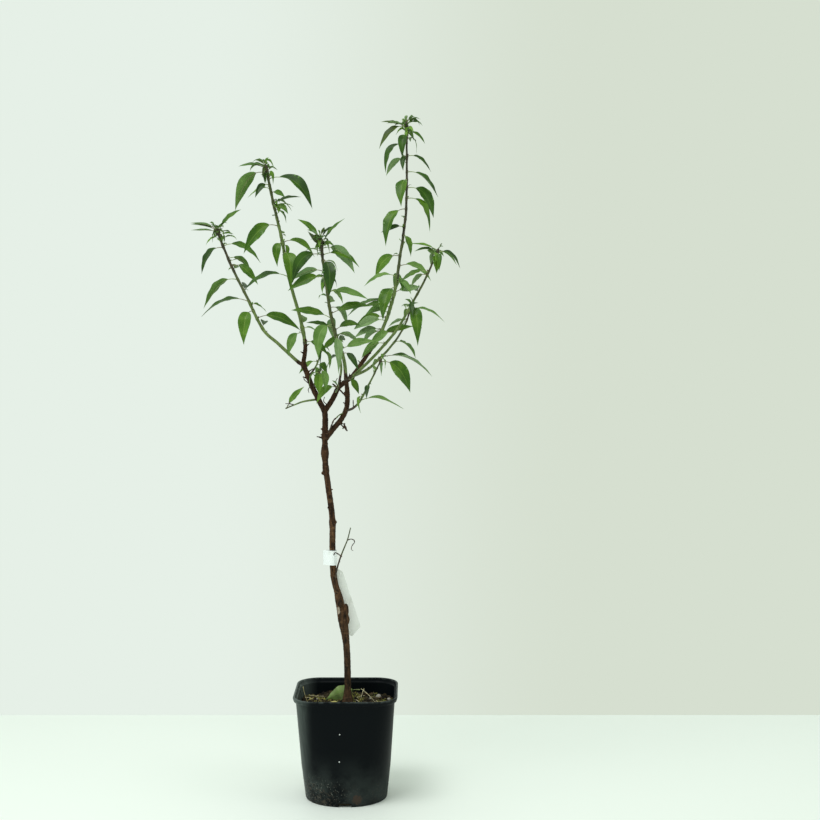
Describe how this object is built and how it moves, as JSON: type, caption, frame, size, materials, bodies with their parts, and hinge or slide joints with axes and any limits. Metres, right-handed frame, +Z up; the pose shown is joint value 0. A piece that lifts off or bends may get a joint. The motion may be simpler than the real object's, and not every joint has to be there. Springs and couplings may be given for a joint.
{
  "type": "potted dwarf almond tree",
  "caption": "young grafted almond tree with a bent bare stem and a small open leafy crown, growing in a square-topped black nursery pot that stands on its flat underside",
  "frame": {"origin": "middle of the pot's flat underside", "axes": "+Z up, +X to the viewer's right and +Y to the back when the front of the tree is looked at"},
  "size_m": [0.4396, 0.2797, 1.1232],
  "materials": {
    "pot_plastic": "black injection moulded nursery pot, dusty and a little scuffed",
    "soil": "dark crumbly compost with moss and bits of dead leaf",
    "label": "blank white plastic plant label",
    "bark": "dark reddish brown bark with knots, buds and a graft scar",
    "foliage": "green shoots with lance-shaped mid green leaves, paler underneath",
    "twig": "thin grey green to brown twig"
  },
  "bodies": {
    "root": {"pot": "pot_plastic", "soil": "soil", "label": "label", "trunk": "bark", "leader": "bark", "left_bough": "bark", "mid_bough": "bark", "right_bough": "bark", "left_tall_shoot": "foliage", "far_left_shoot": "foliage", "middle_shoot": "foliage", "right_tall_shoot": "foliage", "right_long_shoot": "foliage", "second_right_shoot": "foliage", "lower_right_shoot": "foliage", "thin_back_shoot": "foliage", "inner_left_sprig": "foliage", "inner_front_sprig": "foliage", "inner_low_sprig": "foliage", "left_bare_twig": "twig", "trunk_twig": "twig"}
  },
  "joints": []
}
